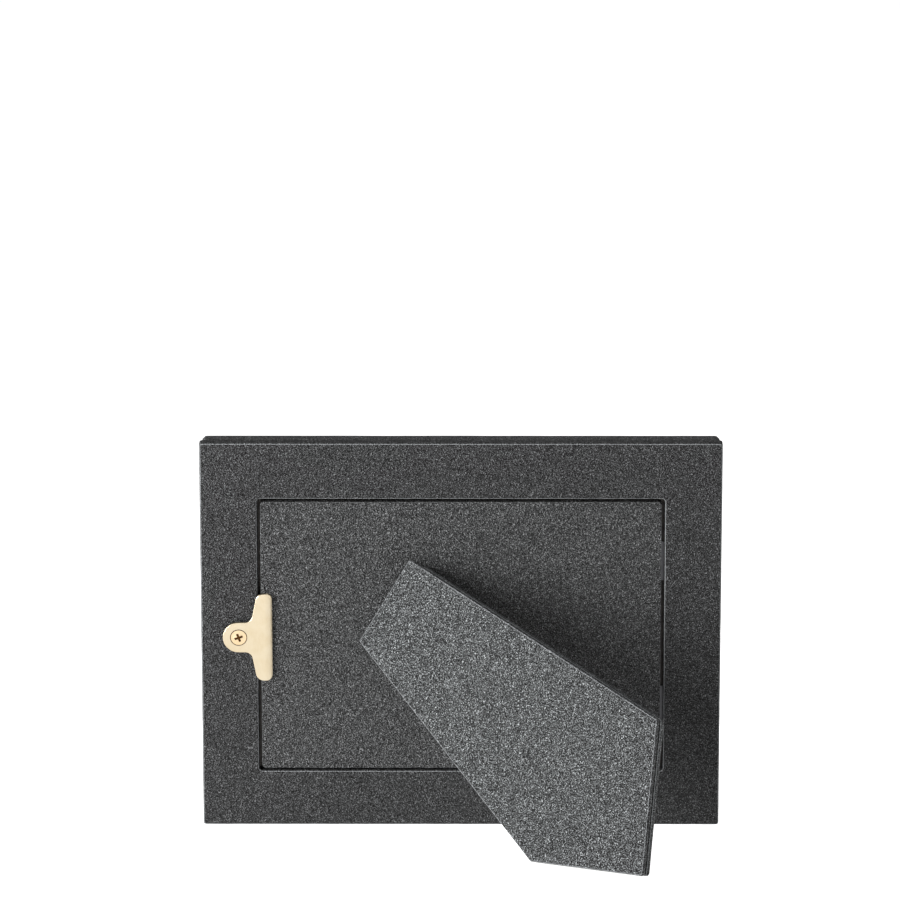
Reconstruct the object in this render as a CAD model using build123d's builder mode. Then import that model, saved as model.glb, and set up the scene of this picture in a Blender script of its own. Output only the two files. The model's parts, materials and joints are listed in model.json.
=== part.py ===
from build123d import *
from math import asin, cos, degrees, radians, sin, sqrt, tan
import os

# A leather-covered photo frame for a 4 x 6 inch print, standing on its long side and leaning back on its
# open easel leg. The back is on the +Y side, the window on the -Y side. The origin is on the table, under
# the middle of the standing frame. Millimetres and degrees.

# How the frame stands
lean_deg = 10.5            # on its long side
lean_on_end_deg = 16.6     # on its short side
leg_open_deg = 38.8        # the leg at its stop, from flat against the back

# The print, the pocket that holds it and the window that shows it
print_width = 152.4
print_height = 101.6
print_clearance = 1.5
print_overlap = 3.0        # behind the window's edge
print_thickness = 0.3
glass_thickness = 2.0
filler_thickness = 1.4
pane_clearance = 0.5
ledge_side = 1.5           # round the rabbet, under the panel
ledge_top = 4.15

# Back ring, the flat border round the removable panel
border_side = 22.3
border_top = 22.9
ring_thickness = 4.2
ring_corner = 1.0
opening_corner = 1.2

# Front moulding: leather over four mitred rails
moulding_inset = 0.8       # how far the back ring stands past the moulding
moulding_thickness = 9.5
seam_width = 0.3           # dark groove between moulding and ring
front_round = 2.4

# Leather
leather = 0.8
leg_leather = 0.6
edge_round = 0.9
seam_round = 0.35

# Removable panel
panel_gap = 1.2
panel_corner = 1.5
lining_thickness = 0.4
lining_margin = 1.0
tongue_width = 16.0
tongue_thickness = 0.5
tongue_grip = 8.0          # inside the panel
tongue_reach = 3.0         # under the ring
tongue_spacing = 60.0
tongue_clearance = 0.2

# Leg outline. p runs along the hinge edge, q down the leg
hinge_corner_u = -38.3     # lower end of the hinge edge, across from the middle of the back
hinge_corner_v = 77.5      # the same corner, up from the bottom edge
hinge_turn_deg = 59.8      # slope of the hinge edge
hinge_edge = 39.3
flare_low_deg = 10.6       # splay of the lower long edge
flare_high_deg = 7.4       # splay of the upper long edge
leg_corner = 1.2

# Leg layers, from the side that faces the back
leg_board = 1.9
seam_depth = 1.5
leg_closed_gap = 0.4

# Hinge
pin_radius = 0.7
pin_clearance = 0.05
knuckle_radius = 1.3
knuckle_gap = 0.3
knuckle_clearance = 0.3
pin_from_edge = 2.6        # pin to the leg's hinge edge
knuckle_room = 1.1         # knuckle to the leg's inner layer
pin_head_radius = 1.0
pin_head = 0.4
leaf_length = 26.0
panel_leaf_down = 12.0     # below the pin
panel_leaf_up = 3.3        # above the pin
leg_leaf_down = 15.0
web_thickness = 1.2
stop_reach = 3.2
stop_height = 1.3
stop_gap = 0.05
rivet_radius = 0.9
rivet_head_radius = 1.55
rivet_head = 0.5
countersink_deg = 82.0
rivet_clearance = 0.03
rivet_spacing = 9.0
rivet_down = 8.5           # rivets below the pin

# Turn-button and its screw
screw_from_edge = 14.7
screw_radius = 1.5
screw_length = 10.0
screw_head_radius = 3.05
screw_head = 0.5
screw_dome = 0.45
screw_clearance = 0.08
cross_length = 3.4
cross_width = 0.9
cross_depth = 0.85
cross_turn_deg = 20.0
washer_radius = 4.8
washer_thickness = 1.0
button_thickness = 1.0
button_play = 0.05
button_tab_radius = 6.2
button_overlap = 4.3       # of the bar over the panel
button_root_width = 8.2    # of the bar where it leaves the tab
button_tip_width = 5.9     # and at its tips
button_length = 36.0
button_neck_round = 3.0
button_shoulder_round = 3.2    # of the tips, on the screw's side
button_tip_round = 2.2         # and on the lip
lip_width = 2.9
lip_radius = 5.0
head_recess = 0.5
head_recess_clearance = 0.3
button_edge_round = 0.25

# V-shaped nails across the mitres
vnail_leg = 4.0
vnail_thickness = 0.5
vnail_depth = 6.0
vnail_places = (9.0, 18.0)

# Sizes that follow
rabbet_width = print_width + 2 * print_clearance
rabbet_height = print_height + 2 * print_clearance
window_width = print_width - 2 * print_overlap
window_height = print_height - 2 * print_overlap
opening_width = rabbet_width + 2 * ledge_side
opening_height = rabbet_height + 2 * ledge_top
back_width = opening_width + 2 * border_side
back_height = opening_height + 2 * border_top
panel_width = opening_width - 2 * panel_gap
panel_height = opening_height - 2 * panel_gap
leaf_thickness = leather   # each leaf is let in flush, and spaces the leg's two layers apart
leg_layer = leg_leather + leg_board
leg_thickness = 2 * leg_layer + leaf_thickness
pin_depth = leg_layer + leaf_thickness - knuckle_clearance - knuckle_radius
pin_height = leg_closed_gap + pin_depth
inner_cut = pin_from_edge + knuckle_radius + knuckle_room
button_edge = border_side - screw_from_edge + panel_gap + button_overlap

# Directions on the back: u across (towards -X), v up the back, w out of the back
lean = radians(lean_deg)
lean_on_end = radians(lean_on_end_deg)
leg_open = radians(leg_open_deg)
hinge_turn = radians(hinge_turn_deg)
across = Vector(1, 0, 0)
up_back = Vector(0, 1, 0)
outward = Vector(0, 0, 1)
along_hinge = across * cos(hinge_turn) + up_back * sin(hinge_turn)
down_closed = across * sin(hinge_turn) - up_back * cos(hinge_turn)
down_leg = down_closed * cos(leg_open) + outward * sin(leg_open)
leg_normal = outward * cos(leg_open) - down_closed * sin(leg_open)

corner_low = across * hinge_corner_u + up_back * hinge_corner_v
pin_end = corner_low + down_closed * pin_from_edge + outward * pin_height


def leg_point(p, q, z):
    """A point of the open leg, in u, v and w: z is up from its inner face."""
    return pin_end + along_hinge * p + down_leg * (q - pin_from_edge) + leg_normal * (z - pin_depth)


def foot_line(table_up, table_offset):
    """The line a * p + b * q = c in which the inner face meets the table, for its rounded foot edge."""
    tilt = leg_normal.dot(table_up)
    foot_rise = edge_round * (1 - tilt - sqrt(1 - tilt**2))
    corner_height = leg_point(0, 0, 0).dot(table_up) - table_offset
    return along_hinge.dot(table_up), down_leg.dot(table_up), foot_rise - corner_height


# The rounded rear bottom edge rests on the table, and the rounded side edge when the frame stands on end
long_up = up_back * cos(lean) - outward * sin(lean)
end_up = across * -cos(lean_on_end) - outward * sin(lean_on_end)
edge_drop = edge_round * (cos(lean) + sin(lean) - 1)
end_drop = edge_round * (cos(lean_on_end) + sin(lean_on_end) - 1)
long_a, long_b, long_c = foot_line(long_up, edge_drop)
end_a, end_b, end_c = foot_line(end_up, end_drop - back_width / 2 * cos(lean_on_end))
slope_low = -tan(radians(flare_low_deg))
slope_high = tan(radians(flare_high_deg))

# Foot corners of the leg: low is the inner corner, tip stands on both tables, high is the outer corner
low_q = long_c / (long_a * slope_low + long_b)
high_q = (end_c - end_a * hinge_edge) / (end_a * slope_high + end_b)
foot_det = long_a * end_b - end_a * long_b
tip_p = (long_c * end_b - end_c * long_b) / foot_det
tip_q = (long_a * end_c - end_a * long_c) / foot_det

# Planes: on the back, on the open leg's inner face, and along the hinge pin
front_face = -ring_thickness - seam_width - moulding_thickness
front_y = front_face * cos(lean) + moulding_inset * sin(lean)
tip_outer = leg_point(tip_p, tip_q, leg_thickness)
foot_y = tip_outer.Y * sin(lean) + tip_outer.Z * cos(lean)
back_origin = Vector(0, -(front_y + foot_y) / 2, -edge_drop)
BACK = Plane(back_origin, x_dir=(-1, 0, 0), z_dir=(0, cos(lean), -sin(lean)))


def to_frame(direction):
    """A direction given in u, v and w, turned into X, Y and Z."""
    return BACK.x_dir * direction.X + BACK.y_dir * direction.Y + BACK.z_dir * direction.Z


def place(point):
    """A point given in u, v and w, turned into X, Y and Z."""
    return BACK.origin + to_frame(point)


LEG = Plane(place(leg_point(0, 0, 0)), x_dir=to_frame(along_hinge), z_dir=to_frame(leg_normal))
pin_middle = pin_end + along_hinge * (hinge_edge / 2)
HINGE = Plane(place(pin_middle), x_dir=to_frame(along_hinge), z_dir=to_frame(outward))
screw_u = screw_from_edge - back_width / 2
BUTTON = Plane(place(across * screw_u + up_back * (back_height / 2)), x_dir=BACK.x_dir, z_dir=BACK.z_dir)
back_axis = Axis(BACK.origin, BACK.z_dir)
leg_axis = Axis(LEG.origin, LEG.z_dir)
middle_v = back_height / 2

os.makedirs("parts", exist_ok=True)


def finish(built, name):
    """Label a finished piece and write its STEP file."""
    built.part.label = name
    export_step(built.part, f"parts/{name}.step")


def hinge_section(along):
    """A plane across the pin, this far from its middle: x runs up the back and y out of it."""
    return Plane(HINGE.origin + HINGE.x_dir * along, x_dir=HINGE.y_dir, z_dir=HINGE.x_dir)


def plate(width, height, corner):
    """A rectangle with rounded corners, centred on the back."""
    with BuildSketch() as face:
        with Locations((0, middle_v)):
            RectangleRounded(width, height, corner)
    return face.sketch


def leg_face(inset, cut_back):
    """The leg's outline drawn in by inset, its hinge end moved down by cut_back."""
    with BuildSketch() as face:
        with BuildLine():
            Polyline(
                (cut_back * slope_low, -cut_back),
                (low_q * slope_low, -low_q),
                (tip_p, -tip_q),
                (hinge_edge + high_q * slope_high, -high_q),
                (hinge_edge + cut_back * slope_high, -cut_back),
                close=True,
            )
        make_face()
        if inset > 0:
            offset(amount=-inset, kind=Kind.INTERSECTION)
        fillet(face.vertices(), leg_corner)
    return face.sketch


def vnail_face(corner_u, corner_v, from_corner):
    """A V across a mitre, its point towards the middle of the frame."""
    inward_u = -1 if corner_u > 0 else 1
    inward_v = -1 if corner_v > 0 else 1
    middle_u = corner_u + inward_u * from_corner
    point_v = middle_v + corner_v + inward_v * from_corner
    wing = vnail_leg
    thick = vnail_thickness
    with BuildSketch() as face:
        with BuildLine():
            Polyline(
                (middle_u, point_v),
                (middle_u - inward_u * wing, point_v),
                (middle_u - inward_u * wing, point_v - inward_v * thick),
                (middle_u - inward_u * thick, point_v - inward_v * thick),
                (middle_u - inward_u * thick, point_v - inward_v * wing),
                (middle_u, point_v - inward_v * wing),
                close=True,
            )
        make_face()
    return face.sketch


# ---- Back ring: a wrapped board with the opening for the panel ----
slot_depth = lining_thickness + tongue_thickness + tongue_clearance
slot_length = panel_gap + tongue_reach + tongue_clearance
slot_middle = panel_width / 2 + slot_length / 2


def tongue_slots():
    """Where the panel's tongues run under the ring, as two rectangles on the back."""
    with BuildSketch() as face:
        with Locations((slot_middle, middle_v)):
            with GridLocations(1, tongue_spacing, 1, 2):
                Rectangle(slot_length, tongue_width + 2 * tongue_clearance)
    return face.sketch


def board_face():
    """The board inside the ring's leather, as a sketch on the back."""
    with BuildSketch() as face:
        add(plate(back_width - 2 * leather, back_height - 2 * leather, ring_corner))
        opening = plate(opening_width + 2 * leather, opening_height + 2 * leather, opening_corner)
        add(opening, mode=Mode.SUBTRACT)
    return face.sketch


with BuildPart() as ring_board:
    with BuildSketch(BACK.offset(-leather)):
        add(board_face())
    extrude(amount=leather - ring_thickness)
    with BuildSketch(BACK.offset(-ring_thickness)):
        add(tongue_slots())
    extrude(amount=slot_depth, mode=Mode.SUBTRACT)
    with Locations(BUTTON):
        Hole(screw_radius + screw_clearance)
finish(ring_board, "back_ring_board")

with BuildPart() as ring_leather:
    with BuildSketch(BACK):
        add(plate(back_width, back_height, ring_corner))
        add(plate(opening_width, opening_height, opening_corner), mode=Mode.SUBTRACT)
    extrude(amount=-ring_thickness)
    fillet(ring_leather.faces().sort_by(back_axis)[-1].edges(), edge_round)
    fillet(ring_leather.faces().sort_by(back_axis)[0].outer_wire().edges(), seam_round)
    with BuildSketch(BACK.offset(-leather)):
        add(board_face())
    extrude(amount=leather - ring_thickness, mode=Mode.SUBTRACT)
    with BuildSketch(BACK.offset(-ring_thickness)):
        add(tongue_slots())
    extrude(amount=slot_depth, mode=Mode.SUBTRACT)
    with Locations(BUTTON):
        Hole(screw_radius + screw_clearance)
finish(ring_leather, "back_ring_leather")

# ---- Front moulding: four mitred rails with a rabbet, covered in leather ----
moulding_width = back_width - 2 * moulding_inset
moulding_height = back_height - 2 * moulding_inset
core_width = moulding_width - 2 * leather
core_height = moulding_height - 2 * leather
rabbet_depth = filler_thickness + print_thickness + glass_thickness
ledge = -ring_thickness - rabbet_depth

with BuildPart() as core:
    with BuildSketch(BACK.offset(front_face + leather)):
        add(plate(core_width, core_height, ring_corner))
    extrude(amount=-ring_thickness - front_face - leather)
    fillet(core.faces().sort_by(back_axis)[0].edges(), front_round - leather)
    with BuildSketch(BACK.offset(front_face)):
        add(plate(window_width + 2 * leather, window_height + 2 * leather, opening_corner))
    extrude(amount=ledge - front_face, mode=Mode.SUBTRACT)
    with BuildSketch(BACK.offset(ledge)):
        add(plate(rabbet_width, rabbet_height, opening_corner))
    extrude(amount=rabbet_depth, mode=Mode.SUBTRACT)
    fillet(core.faces().sort_by(back_axis)[0].inner_wires()[0].edges(), front_round - leather)

with BuildPart() as vnails:
    with BuildSketch(BACK.offset(-ring_thickness)):
        for corner_u in (-core_width / 2, core_width / 2):
            for corner_v in (-core_height / 2, core_height / 2):
                for from_corner in vnail_places:
                    add(vnail_face(corner_u, corner_v, from_corner))
    extrude(amount=-vnail_depth)
finish(vnails, "corner_nails")

half_u = back_width / 2
half_v = back_height / 2
rail_wedges = {
    "rail_top": [(-half_u, half_v), (half_u, half_v), (half_u - half_v, 0), (half_v - half_u, 0)],
    "rail_bottom": [(-half_u, -half_v), (half_u, -half_v), (half_u - half_v, 0), (half_v - half_u, 0)],
    "rail_button_side": [(-half_u, -half_v), (-half_u, half_v), (half_v - half_u, 0)],
    "rail_tongue_side": [(half_u, -half_v), (half_u, half_v), (half_u - half_v, 0)],
}
for rail_name, wedge in rail_wedges.items():
    with BuildPart() as rail:
        add(core.part)
        with BuildSketch(BACK.offset(2 * front_face)):
            with BuildLine():
                Polyline([(u, v + middle_v) for u, v in wedge], close=True)
            make_face()
        extrude(amount=-2 * front_face, mode=Mode.INTERSECT)
        add(vnails.part, mode=Mode.SUBTRACT)
        with BuildSketch(BUTTON.offset(-ring_thickness)):
            Circle(screw_radius + screw_clearance)
        extrude(amount=ring_thickness - screw_length, mode=Mode.SUBTRACT)
    finish(rail, rail_name)

with BuildPart() as front_leather:
    with BuildSketch(BACK.offset(front_face)):
        add(plate(moulding_width, moulding_height, ring_corner))
    extrude(amount=moulding_thickness)
    fillet(front_leather.faces().sort_by(back_axis)[0].edges(), front_round)
    fillet(front_leather.faces().sort_by(back_axis)[-1].edges(), seam_round)
    with BuildSketch(BACK.offset(front_face)):
        add(plate(window_width, window_height, opening_corner))
    extrude(amount=ledge - front_face, mode=Mode.SUBTRACT)
    with BuildSketch(BACK.offset(ledge)):
        add(plate(rabbet_width, rabbet_height, opening_corner))
    extrude(amount=rabbet_depth, mode=Mode.SUBTRACT)
    fillet(front_leather.faces().sort_by(back_axis)[0].inner_wires()[0].edges(), front_round)
    add(core.part, mode=Mode.SUBTRACT)
finish(front_leather, "front_leather")

# ---- In the rabbet: glass, print and filler card ----
with BuildPart() as glass:
    with BuildSketch(BACK.offset(ledge)):
        add(plate(rabbet_width - 2 * pane_clearance, rabbet_height - 2 * pane_clearance, opening_corner))
    extrude(amount=glass_thickness)
finish(glass, "glass_pane")

with BuildPart() as photo_print:
    with BuildSketch(BACK.offset(ledge + glass_thickness)):
        with Locations((0, middle_v)):
            Rectangle(print_width, print_height)
    extrude(amount=print_thickness)
finish(photo_print, "print_card")

with BuildPart() as filler:
    with BuildSketch(BACK.offset(-ring_thickness)):
        add(plate(rabbet_width - 2 * pane_clearance, rabbet_height - 2 * pane_clearance, opening_corner))
    extrude(amount=-filler_thickness)
finish(filler, "filler_card")

# ---- Removable panel: wrapped board, lined inside, held by two tongues and the turn-button ----
panel_inside = lining_thickness - ring_thickness
leaf_middle = (panel_leaf_up - panel_leaf_down) / 2
leaf_height = panel_leaf_up + panel_leaf_down
tongue_length = tongue_grip + panel_gap + tongue_reach
tongue_end = panel_width / 2 + panel_gap + tongue_reach
LEAF_BASE = HINGE.offset(-pin_height - leaf_thickness)


def panel_rivet_places():
    """Rivets of the panel leaf, as places on the hinge plane."""
    return [(across_pin, -rivet_down) for across_pin in (-rivet_spacing, 0, rivet_spacing)]


with BuildPart() as tongues:
    with BuildSketch(BACK.offset(panel_inside)):
        with Locations((tongue_end - tongue_length / 2, middle_v)):
            with GridLocations(1, tongue_spacing, 1, 2):
                Rectangle(tongue_length, tongue_width)
    extrude(amount=tongue_thickness)
finish(tongues, "panel_tongues")

with BuildPart() as panel_board:
    with BuildSketch(BACK.offset(-leather)):
        add(plate(panel_width - 2 * leather, panel_height - 2 * leather, panel_corner - leather))
    extrude(amount=leather + panel_inside)
    add(tongues.part, mode=Mode.SUBTRACT)
    with BuildSketch(HINGE.offset(panel_inside - pin_height)):
        with Locations(*panel_rivet_places()):
            Circle(rivet_radius + rivet_clearance)
    extrude(amount=-panel_inside, mode=Mode.SUBTRACT)
    with BuildSketch(HINGE.offset(panel_inside - pin_height)):
        with Locations(*panel_rivet_places()):
            Circle(rivet_head_radius + rivet_clearance)
    extrude(amount=rivet_head, mode=Mode.SUBTRACT)
finish(panel_board, "panel_board")

with BuildPart() as panel_leather:
    with BuildSketch(BACK):
        add(plate(panel_width, panel_height, panel_corner))
    extrude(amount=panel_inside)
    fillet(panel_leather.faces().sort_by(back_axis)[-1].edges(), edge_round)
    with BuildSketch(BACK.offset(-leather)):
        add(plate(panel_width - 2 * leather, panel_height - 2 * leather, panel_corner - leather))
    extrude(amount=leather + panel_inside, mode=Mode.SUBTRACT)
    add(tongues.part, mode=Mode.SUBTRACT)
    with BuildSketch(LEAF_BASE):
        with Locations((0, leaf_middle)):
            Rectangle(leaf_length + 2 * rivet_clearance, leaf_height + 2 * rivet_clearance)
    extrude(amount=leaf_thickness + leather, mode=Mode.SUBTRACT)
finish(panel_leather, "panel_leather")

with BuildPart() as lining:
    with BuildSketch(BACK.offset(-ring_thickness)):
        add(plate(panel_width - 2 * lining_margin, panel_height - 2 * lining_margin, panel_corner))
    extrude(amount=lining_thickness)
finish(lining, "panel_lining")

# ---- Hinge: five knuckles round one pin, two leaves, rivets ----
knuckle_length = (leaf_length - 4 * knuckle_gap) / 5
knuckle_starts = [index * (knuckle_length + knuckle_gap) - leaf_length / 2 for index in range(5)]
panel_knuckles = knuckle_starts[0::2]
leg_knuckles = knuckle_starts[1::2]
bore_radius = pin_radius + pin_clearance
countersink_taper = countersink_deg / 2
countersink_depth = (rivet_head_radius - rivet_radius) / tan(radians(countersink_taper))

with BuildPart() as panel_leaf:
    with BuildSketch(LEAF_BASE):
        with Locations((0, leaf_middle)):
            Rectangle(leaf_length, leaf_height)
    extrude(amount=leaf_thickness)
    for start in panel_knuckles:
        with BuildSketch(hinge_section(start)):
            Circle(knuckle_radius)
            Rectangle(web_thickness, pin_height, align=(Align.CENTER, Align.MAX))
        extrude(amount=knuckle_length)
    with BuildSketch(hinge_section(-leaf_length)):
        Circle(bore_radius)
    extrude(amount=2 * leaf_length, mode=Mode.SUBTRACT)
    with Locations(HINGE.offset(-pin_height)):
        with Locations(*panel_rivet_places()):
            CounterSinkHole(
                rivet_radius + rivet_clearance,
                rivet_head_radius + rivet_clearance,
                counter_sink_angle=countersink_deg,
            )
finish(panel_leaf, "hinge_panel_leaf")

with BuildPart() as pin:
    with BuildSketch(hinge_section(-leaf_length / 2)):
        Circle(pin_radius)
    extrude(amount=leaf_length)
    with BuildSketch(hinge_section(-leaf_length / 2 - pin_head), hinge_section(leaf_length / 2)):
        Circle(pin_head_radius)
    extrude(amount=pin_head)
finish(pin, "hinge_pin")

with BuildPart() as panel_rivets:
    with BuildSketch(HINGE.offset(panel_inside - pin_height)):
        with Locations(*panel_rivet_places()):
            Circle(rivet_radius)
    extrude(amount=-panel_inside)
    with BuildSketch(HINGE.offset(panel_inside - pin_height)):
        with Locations(*panel_rivet_places()):
            Circle(rivet_head_radius)
    extrude(amount=rivet_head)
    with BuildSketch(HINGE.offset(-pin_height)):
        with Locations(*panel_rivet_places()):
            Circle(rivet_head_radius)
    extrude(amount=-countersink_depth, taper=countersink_taper)
finish(panel_rivets, "hinge_panel_rivets")

# ---- Leg: two wrapped boards glued over a thin card, with the hinge leaf between them ----
seam_base = leg_layer
outer_base = leg_layer + leaf_thickness


def leaf_window(clearance):
    """The leg leaf's outline on the leg, p across and q down, from the pin to the leaf's foot."""
    with BuildSketch() as face:
        with Locations((hinge_edge / 2, -pin_from_edge - leg_leaf_down / 2)):
            Rectangle(leaf_length + 2 * clearance, leg_leaf_down + 2 * clearance)
    return face.sketch


def leg_rivet_places():
    """Rivets of the leg leaf, p across and q down."""
    down = pin_from_edge + leg_leaf_down - rivet_head_radius - leg_board
    return [(hinge_edge / 2 + side * rivet_spacing, -down) for side in (-1, 1)]


with BuildPart() as leg_inner_board:
    with BuildSketch(LEG.offset(leg_leather)):
        add(leg_face(leg_leather, inner_cut))
    extrude(amount=leg_board)
    with BuildSketch(LEG.offset(leg_leather)):
        with Locations(*leg_rivet_places()):
            Circle(rivet_radius + rivet_clearance)
    extrude(amount=leg_board, mode=Mode.SUBTRACT)
    with BuildSketch(LEG.offset(leg_leather)):
        with Locations(*leg_rivet_places()):
            Circle(rivet_head_radius + rivet_clearance)
    extrude(amount=rivet_head, mode=Mode.SUBTRACT)
finish(leg_inner_board, "leg_inner_board")

with BuildPart() as leg_inner_leather:
    with BuildSketch(LEG):
        add(leg_face(0, inner_cut))
    extrude(amount=leg_layer)
    fillet(leg_inner_leather.faces().sort_by(leg_axis)[0].edges(), edge_round)
    fillet(leg_inner_leather.faces().sort_by(leg_axis)[-1].edges(), seam_round)
    with BuildSketch(LEG.offset(leg_leather)):
        add(leg_face(leg_leather, inner_cut))
    extrude(amount=leg_board, mode=Mode.SUBTRACT)
finish(leg_inner_leather, "leg_inner_leather")

with BuildPart() as leg_card:
    with BuildSketch(LEG.offset(seam_base)):
        add(leg_face(seam_depth, inner_cut))
        add(leaf_window(rivet_clearance), mode=Mode.SUBTRACT)
    extrude(amount=leaf_thickness)
finish(leg_card, "leg_card")

with BuildPart() as leg_outer_board:
    with BuildSketch(LEG.offset(outer_base)):
        add(leg_face(leg_leather, 0))
    extrude(amount=leg_board)
    with BuildSketch(LEG.offset(outer_base)):
        with Locations(*leg_rivet_places()):
            Circle(rivet_radius + rivet_clearance)
    extrude(amount=leg_board, mode=Mode.SUBTRACT)
    with BuildSketch(LEG.offset(outer_base + leg_board)):
        with Locations(*leg_rivet_places()):
            Circle(rivet_head_radius + rivet_clearance)
    extrude(amount=-rivet_head, mode=Mode.SUBTRACT)
finish(leg_outer_board, "leg_outer_board")

with BuildPart() as leg_outer_leather:
    with BuildSketch(LEG.offset(outer_base)):
        add(leg_face(0, 0))
    extrude(amount=leg_layer)
    fillet(leg_outer_leather.faces().sort_by(leg_axis)[-1].edges(), edge_round)
    fillet(leg_outer_leather.faces().sort_by(leg_axis)[0].edges(), seam_round)
    with BuildSketch(LEG.offset(outer_base)):
        add(leg_face(leg_leather, 0))
    extrude(amount=leg_board, mode=Mode.SUBTRACT)
finish(leg_outer_leather, "leg_outer_leather")

knuckle_space = 2 * (knuckle_radius + knuckle_clearance)

with BuildPart() as leg_leaf:
    with BuildSketch(LEG.offset(seam_base)):
        add(leaf_window(0))
    extrude(amount=leaf_thickness)
    for start in panel_knuckles:
        with BuildSketch(hinge_section(start - knuckle_gap)):
            Rectangle(knuckle_space, knuckle_space)
        extrude(amount=knuckle_length + 2 * knuckle_gap, mode=Mode.SUBTRACT)
    for start in leg_knuckles:
        with BuildSketch(hinge_section(start)):
            Circle(knuckle_radius)
            with Locations((0, stop_gap - pin_height)):
                Rectangle(stop_reach, stop_height, align=(Align.MIN, Align.MIN))
        extrude(amount=knuckle_length)
    with BuildSketch(hinge_section(-leaf_length)):
        Circle(bore_radius)
    extrude(amount=2 * leaf_length, mode=Mode.SUBTRACT)
    with BuildSketch(LEG.offset(seam_base)):
        with Locations(*leg_rivet_places()):
            Circle(rivet_radius + rivet_clearance)
    extrude(amount=leaf_thickness, mode=Mode.SUBTRACT)
finish(leg_leaf, "hinge_leg_leaf")

with BuildPart() as leg_rivets:
    with BuildSketch(LEG.offset(leg_leather)):
        with Locations(*leg_rivet_places()):
            Circle(rivet_radius)
    extrude(amount=leg_thickness - 2 * leg_leather)
    with BuildSketch(LEG.offset(leg_leather), LEG.offset(leg_thickness - leg_leather - rivet_head)):
        with Locations(*leg_rivet_places()):
            Circle(rivet_head_radius)
    extrude(amount=rivet_head)
finish(leg_rivets, "hinge_leg_rivets")

# ---- Turn-button: a rounded tab on a screw, and a bar whose rolled lip presses on the panel ----
with BuildPart() as washer:
    with BuildSketch(BUTTON):
        Circle(washer_radius)
        Circle(screw_radius + screw_clearance, mode=Mode.SUBTRACT)
    extrude(amount=washer_thickness)
finish(washer, "button_washer")

button_base = washer_thickness + button_play
button_top = button_base + button_thickness
lip_turn = asin(lip_width / lip_radius)
button_root = button_edge - button_root_width
button_tip = button_edge - button_tip_width
half_length = button_length / 2
BUTTON_SIDE = Plane(BUTTON.origin, x_dir=BUTTON.x_dir, z_dir=-BUTTON.y_dir)

with BuildPart() as button:
    with BuildSketch(BUTTON_SIDE):
        with BuildLine():
            top = Line((-button_tab_radius, button_top), (button_edge - lip_width, button_top))
            lip = JernArc(top @ 1, top % 1, lip_radius, -degrees(lip_turn))
            end = Line(lip @ 1, lip @ 1 + (lip % 1).rotate(Axis.Z, -90) * button_thickness)
            inner = JernArc(end @ 1, lip % 1 * -1, lip_radius - button_thickness, degrees(lip_turn))
            base = Line(inner @ 1, (-button_tab_radius, button_base))
            Line(base @ 1, top @ 0)
        make_face()
    extrude(amount=half_length, both=True)
    with BuildSketch(BUTTON) as outline:
        with BuildLine():
            Polyline(
                (0, -button_tab_radius),
                (button_root, -button_tab_radius),
                (button_tip, -half_length),
                (button_edge, -half_length),
                (button_edge, half_length),
                (button_tip, half_length),
                (button_root, button_tab_radius),
                (0, button_tab_radius),
                close=True,
            )
        make_face()
        roots = outline.vertices().filter_by(lambda corner: abs(corner.X - button_root) < button_play)
        fillet(roots, button_neck_round)
        shoulders = outline.vertices().filter_by(lambda corner: abs(corner.X - button_tip) < button_play)
        fillet(shoulders, button_shoulder_round)
        tips = outline.vertices().filter_by(lambda corner: abs(corner.X - button_edge) < button_play)
        fillet(tips, button_tip_round)
        Circle(button_tab_radius)
        Circle(screw_radius + screw_clearance, mode=Mode.SUBTRACT)
    extrude(amount=2 * button_top, mode=Mode.INTERSECT)
    fillet(button.faces().sort_by(back_axis)[-1].outer_wire().edges(), button_edge_round)
    with BuildSketch(BUTTON.offset(button_top)):
        Circle(screw_head_radius + head_recess_clearance)
    extrude(amount=-head_recess, mode=Mode.SUBTRACT)
finish(button, "turn_button")

head_base = button_top - head_recess + button_play
head_top = head_base + screw_head + screw_dome
dome_radius = (screw_head_radius**2 + screw_dome**2) / (2 * screw_dome)

with BuildPart() as screw:
    with BuildSketch(BUTTON_SIDE):
        with BuildLine():
            side = Polyline(
                (0, head_top),
                (0, -screw_length),
                (screw_radius, -screw_length + screw_radius),
                (screw_radius, head_base),
                (screw_head_radius, head_base),
                (screw_head_radius, head_base + screw_head),
            )
            RadiusArc(side @ 1, side @ 0, dome_radius)
        make_face()
    revolve(axis=Axis(BUTTON.origin, BUTTON.z_dir))
    with BuildSketch(BUTTON.offset(head_top)):
        with Locations(Rotation(0, 0, cross_turn_deg)):
            Rectangle(cross_length, cross_width)
            Rectangle(cross_width, cross_length)
    extrude(amount=-cross_depth, mode=Mode.SUBTRACT)
finish(screw, "button_screw")
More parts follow.
